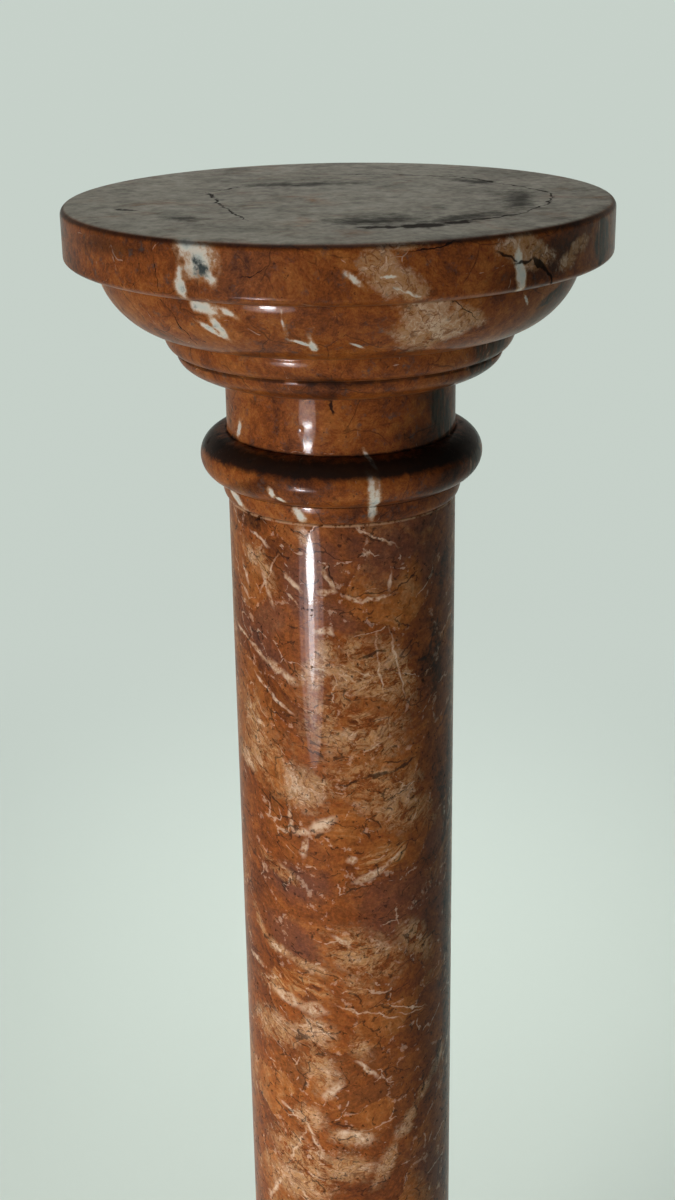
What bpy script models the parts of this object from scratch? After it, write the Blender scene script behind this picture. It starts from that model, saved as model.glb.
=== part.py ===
"""Marble pedestal column: plinth, turned base, plain shaft and turned capital.

Metres, +Z up. The origin is the centre of the plinth's underside. Each block of
marble is its own object, stacked on the one below with a fine seam between them.
"""

import math

import bmesh
import bpy

COLUMN_HEIGHT = 1.080
SEAM = 0.0003

PLINTH_WIDTH = 0.270
PLINTH_HEIGHT = 0.050
PLINTH_ARRIS = 0.0025

BASE_TORUS_RADIUS = 0.112
BASE_TORUS_HEIGHT = 0.040
BASE_HOLLOW_RADIUS = 0.084
BASE_HOLLOW_HEIGHT = 0.018

SHAFT_RADIUS = 0.0653

FILLET_LIP = 0.0034
FILLET_HEIGHT = 0.0104

ASTRAGAL_PROJECTION = 0.0154
ASTRAGAL_HEIGHT = 0.0279

NECK_RADIUS = 0.0650
NECK_HEIGHT = 0.0326

OVOLO_RADIUS = 0.0915
OVOLO_HEIGHT = 0.0152

BEAD_RADIUS = 0.0986
BEAD_HEIGHT = 0.0138

ECHINUS_FOOT_RADIUS = 0.1024
ECHINUS_HEIGHT = 0.0342
ECHINUS_TOP_DROP = 0.0167
ECHINUS_FOOT_RUN = 0.0123

ABACUS_RADIUS = 0.150
ABACUS_HEIGHT = 0.0318
ABACUS_ARRIS = 0.004
ABACUS_LIP_RUN = 0.0164
ABACUS_LIP_DROP = 0.0058
QUIRK = 0.001

TURNED_SIDES = 48

COLLECTION_NAME = "marble_column"
CAPITAL_COLOUR = (0.165, 0.052, 0.027, 1.0)
SHAFT_COLOUR = (0.205, 0.082, 0.046, 1.0)
FOOT_COLOUR = (0.150, 0.050, 0.028, 1.0)
POLISH = 0.18


def clear_scene():
    for item in list(bpy.data.objects):
        bpy.data.objects.remove(item, do_unlink=True)


def marble(name, colour):
    material = bpy.data.materials.new(name)
    material.use_nodes = True
    shader = material.node_tree.nodes["Principled BSDF"]
    shader.inputs["Base Color"].default_value = colour
    shader.inputs["Roughness"].default_value = POLISH
    shader.inputs["Metallic"].default_value = 0.0
    return material


def ellipse_arc(centre_r, centre_z, run, rise, start_deg, end_deg, steps):
    """Points of an elliptical arc in the radius-height plane, both ends included."""
    points = []
    for i in range(steps + 1):
        angle = math.radians(start_deg + (end_deg - start_deg) * i / steps)
        points.append((centre_r + run * math.cos(angle), centre_z + rise * math.sin(angle)))
    return points


def bezier(start, handle_a, handle_b, end, steps):
    """Points of a cubic curve in the radius-height plane, both ends included."""
    points = []
    for i in range(steps + 1):
        t = i / steps
        weights = ((1 - t) ** 3, 3 * (1 - t) ** 2 * t, 3 * (1 - t) * t ** 2, t ** 3)
        corners = (start, handle_a, handle_b, end)
        points.append(tuple(sum(w * p[k] for w, p in zip(weights, corners)) for k in (0, 1)))
    return points


def turned(name, profile, collection, material):
    """Turn a profile, given top to bottom down its outer side, about the Z axis."""
    mesh = bpy.data.meshes.new(name)
    bm = bmesh.new()
    verts = [bm.verts.new((radius, 0.0, height)) for radius, height in profile]
    for upper, lower in zip(verts, verts[1:]):
        bm.edges.new((upper, lower))
    bm.to_mesh(mesh)
    bm.free()
    mesh.materials.append(material)
    block = bpy.data.objects.new(name, mesh)
    collection.objects.link(block)
    screw = block.modifiers.new("turned", "SCREW")
    screw.axis = "Z"
    screw.angle = math.tau
    screw.steps = TURNED_SIDES
    screw.render_steps = TURNED_SIDES
    screw.use_merge_vertices = True
    screw.merge_threshold = 0.00005
    screw.use_smooth_shade = True
    return block


def build_plinth(collection):
    """A plain square slab with slightly softened edges."""
    bpy.ops.mesh.primitive_cube_add(size=1.0, location=(0.0, 0.0, PLINTH_HEIGHT / 2))
    slab = bpy.context.object
    slab.name = "plinth"
    slab.data.name = "plinth"
    slab.scale = (PLINTH_WIDTH, PLINTH_WIDTH, PLINTH_HEIGHT)
    bpy.ops.object.transform_apply(location=False, rotation=False, scale=True)
    edge = slab.modifiers.new("softened edges", "BEVEL")
    edge.width = PLINTH_ARRIS
    edge.segments = 2
    edge.limit_method = "ANGLE"
    slab.data.materials.append(marble("plinth_marble", FOOT_COLOUR))
    for home in list(slab.users_collection):
        home.objects.unlink(slab)
    collection.objects.link(slab)


def build_base(collection, bottom):
    """Turned base: fillet, hollow and one torus. Returns the height of its top."""
    torus_top = bottom + BASE_TORUS_HEIGHT
    hollow_top = torus_top + BASE_HOLLOW_HEIGHT
    top = hollow_top + FILLET_HEIGHT
    fillet_radius = SHAFT_RADIUS + FILLET_LIP
    torus_half = BASE_TORUS_HEIGHT / 2
    torus_seat = BASE_TORUS_RADIUS - torus_half
    hollow_run = BASE_HOLLOW_RADIUS - fillet_radius
    profile = [(0.0, top), (SHAFT_RADIUS, top)]
    profile += ellipse_arc(SHAFT_RADIUS, hollow_top, FILLET_LIP, FILLET_HEIGHT, 75, 0, 4)
    profile += ellipse_arc(BASE_HOLLOW_RADIUS, hollow_top, hollow_run, BASE_HOLLOW_HEIGHT, 180, 270, 7)[1:]
    profile += ellipse_arc(torus_seat, bottom + torus_half, torus_half, torus_half, 90, -90, 14)
    profile += [(0.0, bottom)]
    turned("base", profile, collection, marble("base_marble", FOOT_COLOUR))
    return top


def build_shaft(collection, bottom, top):
    """A plain cylinder between the base and the capital."""
    profile = [(0.0, top), (SHAFT_RADIUS, top), (SHAFT_RADIUS, bottom), (0.0, bottom)]
    turned("shaft", profile, collection, marble("shaft_marble", SHAFT_COLOUR))


def capital_levels():
    """Heights of the capital's lines, from the flat top down to the seam on the shaft."""
    levels = {"top": COLUMN_HEIGHT}
    levels["abacus"] = levels["top"] - ABACUS_HEIGHT
    levels["echinus"] = levels["abacus"] - ECHINUS_HEIGHT
    levels["bead"] = levels["echinus"] - BEAD_HEIGHT
    levels["ovolo"] = levels["bead"] - OVOLO_HEIGHT
    levels["neck"] = levels["ovolo"] - NECK_HEIGHT
    levels["astragal"] = levels["neck"] - ASTRAGAL_HEIGHT
    levels["foot"] = levels["astragal"] - FILLET_HEIGHT
    return levels


def build_capital(collection):
    """One turned block: abacus, echinus, bead, ovolo, neck, astragal and fillet."""
    z = capital_levels()
    lip_radius = ABACUS_RADIUS - ABACUS_LIP_RUN
    lip_top = z["abacus"] + ABACUS_LIP_DROP
    arris_seat = ABACUS_RADIUS - ABACUS_ARRIS
    profile = [(0.0, z["top"])]
    profile += ellipse_arc(arris_seat, z["top"] - ABACUS_ARRIS, ABACUS_ARRIS, ABACUS_ARRIS, 90, 0, 4)
    profile += ellipse_arc(lip_radius, lip_top, ABACUS_LIP_RUN, ABACUS_LIP_DROP, 0, -90, 6)

    shoulder = lip_radius - QUIRK
    profile += bezier(
        (shoulder, z["abacus"]),
        (shoulder - QUIRK, z["abacus"] - ECHINUS_TOP_DROP),
        (ECHINUS_FOOT_RADIUS + ECHINUS_FOOT_RUN, z["echinus"] + QUIRK),
        (ECHINUS_FOOT_RADIUS, z["echinus"]),
        10,
    )

    bead_run = BEAD_RADIUS - OVOLO_RADIUS
    profile += [(BEAD_RADIUS, z["echinus"])]
    profile += ellipse_arc(OVOLO_RADIUS, z["echinus"] - QUIRK, bead_run, BEAD_HEIGHT - QUIRK, 0, -85, 6)
    ovolo_run = OVOLO_RADIUS - NECK_RADIUS
    profile += ellipse_arc(NECK_RADIUS, z["bead"] - QUIRK, ovolo_run, OVOLO_HEIGHT - QUIRK, 0, -90, 8)

    torus_half = ASTRAGAL_HEIGHT / 2
    torus_centre = z["neck"] - torus_half
    profile += ellipse_arc(NECK_RADIUS, torus_centre, ASTRAGAL_PROJECTION, torus_half, 90, -75, 14)
    profile += ellipse_arc(SHAFT_RADIUS, z["astragal"], FILLET_LIP, -FILLET_HEIGHT, 0, 75, 4)
    profile += [(SHAFT_RADIUS, z["foot"]), (0.0, z["foot"])]
    turned("capital", profile, collection, marble("capital_marble", CAPITAL_COLOUR))
    return z["foot"]


def build_column():
    clear_scene()
    collection = bpy.data.collections.new(COLLECTION_NAME)
    bpy.context.scene.collection.children.link(collection)
    build_plinth(collection)
    base_top = build_base(collection, PLINTH_HEIGHT + SEAM)
    capital_foot = build_capital(collection)
    build_shaft(collection, base_top + SEAM, capital_foot - SEAM)


build_column()
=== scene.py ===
"""Looks of the marble pedestal column: turned and polished blocks in veined red-brown marble."""

import math

import bmesh
import bpy
import numpy as np
from bpy.props import FloatProperty, FloatVectorProperty, IntProperty, PointerProperty
from mathutils import Matrix, Vector, noise


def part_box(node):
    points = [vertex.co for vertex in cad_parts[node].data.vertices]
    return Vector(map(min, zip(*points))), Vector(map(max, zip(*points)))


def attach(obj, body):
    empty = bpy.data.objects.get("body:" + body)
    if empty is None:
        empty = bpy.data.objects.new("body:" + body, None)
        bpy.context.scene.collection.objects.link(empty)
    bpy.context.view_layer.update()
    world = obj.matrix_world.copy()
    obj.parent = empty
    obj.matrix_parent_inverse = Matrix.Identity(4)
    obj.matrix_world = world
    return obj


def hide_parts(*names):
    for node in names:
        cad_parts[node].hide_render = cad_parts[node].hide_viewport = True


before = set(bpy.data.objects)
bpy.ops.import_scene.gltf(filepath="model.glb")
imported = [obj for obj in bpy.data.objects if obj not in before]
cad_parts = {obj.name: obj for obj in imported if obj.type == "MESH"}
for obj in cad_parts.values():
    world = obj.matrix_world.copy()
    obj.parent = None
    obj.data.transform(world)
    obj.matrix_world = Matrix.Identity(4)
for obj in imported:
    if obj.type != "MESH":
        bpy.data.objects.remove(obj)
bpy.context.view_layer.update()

bl_info = {
    "name": "Marble Pedestal Column",
    "version": (1, 0, 0),
    "blender": (4, 5, 0),
    "location": "View3D > Sidebar > Column",
    "description": "Builds a polished marble pedestal column and its plain stage",
    "category": "Object",
}

MM = 0.001
NUMBER = "NodeSocketFloat"
VECTOR = "NodeSocketVector"
COLOUR = "NodeSocketColor"
QUIRK = 1.0 * MM
ECHINUS_SHOULDER_DROP = 16.7 * MM
ECHINUS_FOOT_RUN = 12.3 * MM
FLAT_SPACING = 9 * MM
SHARP_TURN = math.radians(24)
CORNER_SHARE = 0.4
GUARD_REACH = 2.4
GUARD_ROOM = 2.5
MARK_REACH = 1.8

CAPITAL_LOW, CAPITAL_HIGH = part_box("capital")
SHAFT_LOW, SHAFT_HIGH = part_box("shaft")
BASE_LOW, BASE_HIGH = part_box("base")
PLINTH_LOW, PLINTH_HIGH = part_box("plinth")
TOP_HEIGHT = CAPITAL_HIGH[2]


# Sizes and colours

def length(name, default, description):
    return FloatProperty(name=name, description=description, default=default, unit="LENGTH")


def tint(name, default, description):
    return FloatVectorProperty(name=name, description=description, default=default, subtype="COLOR")


class ColumnSizes(bpy.types.PropertyGroup):
    """Sizes of the column's mouldings that a user would change"""

    abacus_height: length("Abacus Height", 0.0318, "Height of the round top slab down to its lower edge")
    abacus_arris: length("Top Edge", 0.004, "Radius of the rounded edge round the flat top")
    abacus_lip_run: length("Lip Run", 0.0164, "How far the slab's underside curves in before the echinus")
    abacus_lip_drop: length("Lip Drop", 0.0058, "Height of the curve at the slab's lower edge")
    echinus_height: length("Echinus Height", 0.0342, "Height of the large quarter round under the slab")
    echinus_foot_radius: length("Echinus Foot", 0.1024, "Radius at the foot of the large quarter round")
    bead_height: length("Bead Height", 0.0138, "Height of the first step under the echinus")
    bead_radius: length("Bead Radius", 0.0986, "Radius of the first step under the echinus")
    ovolo_height: length("Ovolo Height", 0.0152, "Height of the small quarter round above the neck")
    ovolo_radius: length("Ovolo Radius", 0.0915, "Radius of the small quarter round above the neck")
    neck_height: length("Neck Height", 0.0326, "Height of the plain neck above the astragal")
    neck_radius: length("Neck Radius", 0.0650, "Radius of the plain neck")
    astragal_height: length("Astragal Height", 0.0279, "Height of the round ring under the neck")
    astragal_projection: length("Astragal Projection", 0.0154, "How far the ring stands out from the neck")
    fillet_lip: length("Fillet Lip", 0.0034, "How far the fillet stands out from the shaft")
    base_torus_height: length("Base Torus", 0.040, "Height of the round ring at the foot")
    base_hollow_radius: length("Base Hollow", 0.084, "Radius at the foot of the hollow above the base ring")
    base_hollow_height: length("Hollow Height", 0.018, "Height of the hollow above the base ring")
    arris: length("Arris", 0.0005, "Radius of the turned edges")
    wear_depth: length("Wear Depth", 0.0009, "How deep the edges are chipped")
    wear_size: length("Wear Size", 0.006, "Length of a chip along an edge")
    capital_sides: IntProperty(
        name="Capital Sides", description="Faces round the capital", default=432)
    shaft_sides: IntProperty(
        name="Shaft Sides", description="Faces round the shaft and the base", default=300)


class ColumnColours(bpy.types.PropertyGroup):
    """Colours of the marble that a user would change"""

    dark_rust: tint("Dark Rust", (0.080, 0.022, 0.008), "Darkest red-brown of the stone")
    rust: tint("Rust", (0.180, 0.048, 0.010), "Main red-brown of the stone")
    orange: tint("Orange Brown", (0.258, 0.086, 0.019), "Warmest brown of the stone")
    ochre: tint("Ochre", (0.325, 0.168, 0.070), "Yellow brown of some fragments")
    # Beige also serves as the painted highlight along the turned outer edges.
    beige: tint("Beige", (0.375, 0.218, 0.126), "Crushed stone between the fragments")
    cream: tint("Cream", (0.60, 0.45, 0.33), "Pale stone in the veins of the shaft")
    calcite: tint("Calcite", (0.60, 0.56, 0.49), "White crystal patches of the capital")
    ice: tint("Calcite Middle", (0.50, 0.54, 0.52), "Bluish white in the middle of the patches")
    core: tint("Calcite Core", (0.040, 0.050, 0.052), "Blue-grey hollow in the white patch")
    slate: tint("Slate", (0.036, 0.032, 0.021), "Dark green-grey streaks")
    brown: tint("Red brown", (0.098, 0.036, 0.024), "Large plain dark fragments of the shaft")
    # Black also serves as painted shade in the inner corners and the hollow over the astragal, and as a
    # painted dark reflection round the top's edge.
    black: tint("Crack", (0.009, 0.006, 0.005), "Open cracks and dark specks")
    # The grey painted over the flat top is a painted reflection of the pale room behind the column, not a
    # colour of the stone.
    top_sheen: tint("Top Sheen", (0.285, 0.268, 0.228), "Grey bloom on the worn flat top")
    floor: tint("Floor", (0.54, 0.60, 0.56), "Colour of the plain floor")


def sizes():
    return bpy.context.scene.column_sizes


def colours():
    return bpy.context.scene.column_colours


# Profiles

def ellipse_arc(centre_r, centre_z, run, rise, start_deg, end_deg, steps):
    """Points of an elliptical arc in the radius-height plane, both ends included."""
    points = []
    for i in range(steps + 1):
        angle = math.radians(start_deg + (end_deg - start_deg) * i / steps)
        points.append((centre_r + run * math.cos(angle), centre_z + rise * math.sin(angle)))
    return points


def bezier(corners, steps):
    """Points of a cubic curve in the radius-height plane, both ends included."""
    points = []
    for i in range(steps + 1):
        t = i / steps
        weights = ((1 - t) ** 3, 3 * (1 - t) ** 2 * t, 3 * (1 - t) * t ** 2, t ** 3)
        points.append(tuple(sum(w * p[k] for w, p in zip(weights, corners)) for k in (0, 1)))
    return points


def capital_lines(s):
    """Heights of the capital's lines, from the flat top down to its foot on the shaft."""
    z = {"top": TOP_HEIGHT, "foot": CAPITAL_LOW[2]}
    z["abacus"] = z["top"] - s.abacus_height
    z["echinus"] = z["abacus"] - s.echinus_height
    z["bead"] = z["echinus"] - s.bead_height
    z["ovolo"] = z["bead"] - s.ovolo_height
    z["neck"] = z["ovolo"] - s.neck_height
    z["astragal"] = z["neck"] - s.astragal_height
    return z


def capital_profile(s):
    """The capital's outline, from the middle of the top down its outer side to its foot."""
    z = capital_lines(s)
    radius = CAPITAL_HIGH[0]
    shaft_radius = SHAFT_HIGH[0]
    lip_radius = radius - s.abacus_lip_run
    lip_top = z["abacus"] + s.abacus_lip_drop
    seat = radius - s.abacus_arris
    outline = [(0.0, z["top"])]
    outline += ellipse_arc(seat, z["top"] - s.abacus_arris, s.abacus_arris, s.abacus_arris, 90, 0, 8)
    outline += ellipse_arc(lip_radius, lip_top, s.abacus_lip_run, s.abacus_lip_drop, 0, -90, 14)
    shoulder = lip_radius - QUIRK
    outline += bezier([
        (shoulder, z["abacus"]),
        (shoulder - QUIRK, z["abacus"] - ECHINUS_SHOULDER_DROP),
        (s.echinus_foot_radius + ECHINUS_FOOT_RUN, z["echinus"] + QUIRK),
        (s.echinus_foot_radius, z["echinus"]),
    ], 24)
    bead_run = s.bead_radius - s.ovolo_radius
    outline += [(s.bead_radius, z["echinus"])]
    bead_rise = s.bead_height - QUIRK
    outline += ellipse_arc(s.ovolo_radius, z["echinus"] - QUIRK, bead_run, bead_rise, 0, -85, 12)
    ovolo_run = s.ovolo_radius - s.neck_radius
    outline += ellipse_arc(s.neck_radius, z["bead"] - QUIRK, ovolo_run, s.ovolo_height - QUIRK, 0, -90, 16)
    half = s.astragal_height / 2
    outline += ellipse_arc(s.neck_radius, z["neck"] - half, s.astragal_projection, half, 90, -75, 30)
    fillet_height = z["astragal"] - z["foot"]
    outline += ellipse_arc(shaft_radius, z["astragal"], s.fillet_lip, -fillet_height, 0, 75, 8)
    outline += [(shaft_radius, z["foot"]), (0.0, z["foot"])]
    return outline


def base_profile(s):
    """The base's outline: fillet, hollow and one large ring."""
    top, bottom = BASE_HIGH[2], BASE_LOW[2]
    shaft_radius = SHAFT_HIGH[0]
    half = s.base_torus_height / 2
    hollow_top = bottom + s.base_torus_height + s.base_hollow_height
    fillet_radius = shaft_radius + s.fillet_lip
    hollow_run = s.base_hollow_radius - fillet_radius
    outline = [(0.0, top), (shaft_radius, top)]
    outline += ellipse_arc(shaft_radius, hollow_top, s.fillet_lip, top - hollow_top, 75, 0, 8)
    hollow = ellipse_arc(s.base_hollow_radius, hollow_top, hollow_run, s.base_hollow_height, 180, 270, 14)
    outline += hollow[1:]
    outline += ellipse_arc(BASE_HIGH[0] - half, bottom + half, half, half, 90, -90, 40)
    outline += [(0.0, bottom)]
    return outline


def shaft_profile():
    radius = SHAFT_HIGH[0]
    return [(0.0, SHAFT_HIGH[2]), (radius, SHAFT_HIGH[2]), (radius, SHAFT_LOW[2]), (0.0, SHAFT_LOW[2])]


def dressed_rows(outline, arris, spacing):
    """Round the outline's sharp corners and fill its long stretches.

    Each row is a point of radius and height, then arris and quirk: arris is 1 on an outer corner,
    and quirk is 1 on an inner one.
    """
    points = [Vector(p) for p in outline]
    points = [p for i, p in enumerate(points) if i == 0 or (p - points[i - 1]).length > 1e-6]
    rows = [(points[0], 0.0, 0.0)]
    for before, corner, after in zip(points, points[1:], points[2:]):
        incoming = (corner - before).normalized()
        outgoing = (after - corner).normalized()
        turn = math.atan2(incoming.x * outgoing.y - incoming.y * outgoing.x, incoming.dot(outgoing))
        if abs(turn) < SHARP_TURN:
            rows.append((corner, 0.0, 0.0))
            continue
        reach = min(arris, CORNER_SHARE * (corner - before).length, CORNER_SHARE * (after - corner).length)
        guard = GUARD_REACH * reach
        outer = 1.0 if turn < 0 else 0.0
        start = corner - incoming * reach
        end = corner + outgoing * reach
        if (corner - before).length > GUARD_ROOM * guard:
            rows.append((corner - incoming * guard, 0.0, 0.0))
        for t in (0.0, 0.33, 0.67, 1.0):
            point = start * (1 - t) ** 2 + corner * (2 * t * (1 - t)) + end * t ** 2
            rows.append((point, outer, 1.0 - outer))
        if (after - corner).length > GUARD_ROOM * guard:
            rows.append((corner + outgoing * guard, 0.0, 0.0))
    rows.append((points[-1], 0.0, 0.0))
    filled = [rows[0]]
    for row in rows[1:]:
        last = filled[-1]
        step = FLAT_SPACING if abs(row[0].y - last[0].y) < 1e-6 else spacing
        parts = max(1, math.ceil((row[0] - last[0]).length / step))
        for i in range(1, parts):
            filled.append((last[0].lerp(row[0], i / parts), 0.0, 0.0))
        filled.append(row)
    return filled


def radius_at(outline, height):
    """Outermost radius of an outline at a height."""
    best = 0.0
    for (r0, z0), (r1, z1) in zip(outline, outline[1:]):
        if min(z0, z1) <= height <= max(z0, z1):
            share = 0.0 if abs(z1 - z0) < 1e-9 else (height - z0) / (z1 - z0)
            best = max(best, r0 + (r1 - r0) * share)
    return best


# Node helpers

def feed(tree, node, inputs):
    """Set a node's inputs from values and from other nodes' outputs."""
    for key, value in inputs.items():
        socket = node.inputs[key]
        if isinstance(value, bpy.types.NodeSocket):
            tree.links.new(value, socket)
        elif socket.type == "RGBA":
            socket.default_value = (*value[:3], 1.0)
        else:
            socket.default_value = value


def put(tree, kind, inputs=None, out=0, **settings):
    """Add a node, set it up, wire its inputs and return one output."""
    made = tree.nodes.new(kind)
    for key, value in settings.items():
        setattr(made, key, value)
    feed(tree, made, inputs or {})
    return made.outputs[out]


def calc(tree, operation, a, b=0.0, c=0.0, clamp=False):
    return put(tree, "ShaderNodeMath", {0: a, 1: b, 2: c}, operation=operation, use_clamp=clamp)


def times(tree, a, b, clamp=False):
    return calc(tree, "MULTIPLY", a, b, clamp=clamp)


def vectors(tree, operation, a, b, out=0):
    """Vector maths; the second input is a number where the operation scales."""
    key = "Scale" if operation == "SCALE" else 1
    return put(tree, "ShaderNodeVectorMath", {0: a, key: b}, out=out, operation=operation)


def stored(tree, name):
    """A value that is kept on the block's points."""
    return put(tree, "ShaderNodeAttribute", out="Fac", attribute_name=name)


def blend(tree, amount, a, b, mode="MIX"):
    """Mix two colours by an amount."""
    made = tree.nodes.new("ShaderNodeMix")
    made.data_type = "RGBA"
    made.blend_type = mode
    feed(tree, made, {0: amount, 6: a, 7: b})
    return made.outputs[2]


def paint(tree, colour, mask, tone, strength=1.0):
    """Lay a tone over a colour where a mask is, at a strength."""
    return blend(tree, times(tree, mask, strength), colour, tone)


def tones(tree, value, stops):
    """Colour ramp from a list of places and colours."""
    made = tree.nodes.new("ShaderNodeValToRGB")
    tree.links.new(value, made.inputs[0])
    ramp = made.color_ramp
    while len(ramp.elements) < len(stops):
        ramp.elements.new(0.5)
    for element, (place, colour) in zip(ramp.elements, stops):
        element.position = place
        element.color = (*colour[:3], 1.0)
    return made.outputs[0]


def spread(tree, value, gain, middle=0.5):
    """Move a value around its middle by a gain, centred on zero."""
    return times(tree, calc(tree, "SUBTRACT", value, middle), gain)


def darken(tree, colour, gain):
    """Multiply a colour by a brightness."""
    grey = put(tree, "ShaderNodeCombineColor", {0: gain, 1: gain, 2: gain})
    return blend(tree, 1.0, colour, grey, "MULTIPLY")


def ramp_mask(tree, value, low, high):
    """0 below low, 1 above high, smooth between."""
    return put(tree, "ShaderNodeMapRange", {0: value, 1: low, 2: high, 3: 0.0, 4: 1.0},
               interpolation_type="SMOOTHSTEP")


def cloud(tree, vector, scale, detail=3.0, roughness=0.55, distortion=0.0, out=0):
    return put(tree, "ShaderNodeTexNoise",
               {"Vector": vector, "Scale": scale, "Detail": detail, "Roughness": roughness,
                "Distortion": distortion}, out=out)


def cells(tree, vector, scale, feature="F1"):
    """Voronoi cells: their random colours, or the distance to their edges."""
    out = "Color" if feature == "F1" else "Distance"
    return put(tree, "ShaderNodeTexVoronoi", {"Vector": vector, "Scale": scale}, out=out, feature=feature)


def new_group(name, ins, outs):
    """Start a shader node group with named inputs and outputs."""
    group = bpy.data.node_groups.new(name, "ShaderNodeTree")
    for label, kind, value in ins:
        socket = group.interface.new_socket(name=label, in_out="INPUT", socket_type=kind)
        if value is not None:
            socket.default_value = value
    for label, kind in outs:
        group.interface.new_socket(name=label, in_out="OUTPUT", socket_type=kind)
    start = group.nodes.new("NodeGroupInput")
    end = group.nodes.new("NodeGroupOutput")
    return group, start.outputs, end.inputs


def use_group(tree, group, inputs):
    made = tree.nodes.new("ShaderNodeGroup")
    made.node_tree = group
    feed(tree, made, inputs)
    return made.outputs


# Marble effects shared by the blocks

def shift_group():
    """Moves a position about irregularly, so that shapes placed with it get natural outlines."""
    group, ins, outs = new_group(
        "Natural Outline",
        [("Position", VECTOR, None), ("Scale", NUMBER, 60.0), ("Amount", NUMBER, 0.004)],
        [("Position", VECTOR)])
    wander = cloud(group, ins["Position"], ins["Scale"], 2.0, 0.6, out="Color")
    centred = vectors(group, "SUBTRACT", wander, (0.5, 0.5, 0.5))
    scaled = vectors(group, "SCALE", centred, ins["Amount"])
    moved = vectors(group, "ADD", ins["Position"], scaled)
    group.links.new(moved, outs["Position"])
    return group


def ground_group():
    """The plain rust-brown body of the stone: clouded tones, crisp mottling and grain."""
    c = colours()
    group, ins, outs = new_group(
        "Rust Marble",
        [("Position", VECTOR, None), ("Mottling", NUMBER, 1.0)],
        [("Colour", COLOUR)])
    position = ins["Position"]
    tone = cloud(group, position, 21.0, 5.0, 0.66, 0.5)
    mottle = cloud(group, position, 230.0, 4.0, 0.75)
    value = calc(group, "ADD", calc(group, "MULTIPLY_ADD", tone, 0.8, 0.06),
                 times(group, spread(group, mottle, 0.5), ins["Mottling"]))
    colour = tones(group, value, (
        (0.20, c.black), (0.34, c.dark_rust), (0.47, c.rust), (0.60, c.orange), (0.78, c.ochre)))
    grain = cloud(group, position, 1000.0, 1.0, 0.6)
    gain = calc(group, "ADD", spread(group, grain, 1.0), 1.0)
    group.links.new(darken(group, colour, gain), outs["Colour"])
    return group


def hair_group():
    """Fine crack-like veins that branch at sharp angles and thin out towards their ends."""
    group, ins, outs = new_group(
        "Hair Veins",
        [("Position", VECTOR, None), ("Scale", NUMBER, 20.0),
         ("Width", NUMBER, 0.01), ("Reach", NUMBER, 0.5)],
        [("Mask", NUMBER)])
    position = ins["Position"]
    edge = cells(group, position, ins["Scale"], "DISTANCE_TO_EDGE")
    moved = vectors(group, "ADD", position, (3.1, 1.7, 5.3))
    zone = cloud(group, moved, times(group, ins["Scale"], 1.4), 4.0, 0.7)
    grown = times(group, calc(group, "SUBTRACT", zone, ins["Reach"]), 12.0, clamp=True)
    reach = times(group, grown, ins["Width"])
    inside = calc(group, "DIVIDE", calc(group, "SUBTRACT", reach, edge), ins["Width"])
    group.links.new(ramp_mask(group, inside, 0.0, 0.5), outs["Mask"])
    return group


def fragments_group():
    """Angular fragments of stone, each with its own tone and its own run of the grain."""
    c = colours()
    group, ins, outs = new_group(
        "Fragments",
        [("Position", VECTOR, None), ("Density", NUMBER, 26.0)],
        [("Colour", COLOUR), ("Edge", NUMBER)])
    position = ins["Position"]
    cell = cells(group, position, ins["Density"])
    edge = cells(group, position, ins["Density"], "DISTANCE_TO_EDGE")
    pick = put(group, "ShaderNodeSeparateColor", {0: cell}, out=0)
    angles = vectors(group, "SCALE", cell, 6.0)
    turned = put(group, "ShaderNodeVectorRotate", {"Vector": position, "Rotation": angles},
                 rotation_type="EULER_XYZ")
    drawn = vectors(group, "MULTIPLY", turned, (1.0, 1.0, 4.5))
    run = cloud(group, drawn, 60.0, 5.0, 0.72)
    value = calc(group, "ADD", times(group, pick, 0.48), spread(group, run, 1.2))
    colour = tones(group, value, (
        (0.0, c.dark_rust), (0.20, c.rust), (0.42, c.orange), (0.60, c.ochre), (0.90, c.beige)))
    group.links.new(colour, outs["Colour"])
    group.links.new(edge, outs["Edge"])
    return group


def crushed_group():
    """Crushed stone: small warped splinters, dark hairlines between them and pale blotches."""
    c = colours()
    group, ins, outs = new_group(
        "Crushed Stone",
        [("Position", VECTOR, None), ("Paleness", NUMBER, 0.5)],
        [("Colour", COLOUR)])
    position = wandered(group, ins["Position"], 95.0, 0.020)
    cell = cells(group, position, 125.0)
    edge = cells(group, position, 125.0, "DISTANCE_TO_EDGE")
    pick = put(group, "ShaderNodeSeparateColor", {0: cell}, out=0)
    fleck = cloud(group, position, 300.0, 4.0, 0.82)
    blotch = cloud(group, ins["Position"], 62.0, 6.0, 0.78, 0.5)
    value = calc(group, "MULTIPLY_ADD", pick, 0.30, spread(group, fleck, 1.2))
    value = calc(group, "ADD", value, spread(group, blotch, 1.5))
    value = calc(group, "ADD", value, calc(group, "MULTIPLY_ADD", ins["Paleness"], 0.48, 0.08))
    colour = tones(group, value, (
        (0.05, c.dark_rust), (0.24, c.rust), (0.44, c.ochre), (0.66, c.beige), (0.98, c.cream)))
    between = calc(group, "MULTIPLY_ADD", spread(group, fleck, 1.0), 0.35, edge)
    line = times(group, ramp_mask(group, between, 0.07, 0.0), 0.6)
    group.links.new(blend(group, line, colour, c.dark_rust), outs["Colour"])
    return group


def speck_group():
    """Small dark or pale specks scattered through the stone."""
    group, ins, outs = new_group(
        "Specks",
        [("Position", VECTOR, None), ("Scale", NUMBER, 260.0), ("Rarity", NUMBER, 0.68)],
        [("Mask", NUMBER)])
    field = cloud(group, ins["Position"], ins["Scale"], 3.0, 0.65)
    high = calc(group, "ADD", ins["Rarity"], 0.04)
    group.links.new(ramp_mask(group, field, ins["Rarity"], high), outs["Mask"])
    return group


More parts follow.
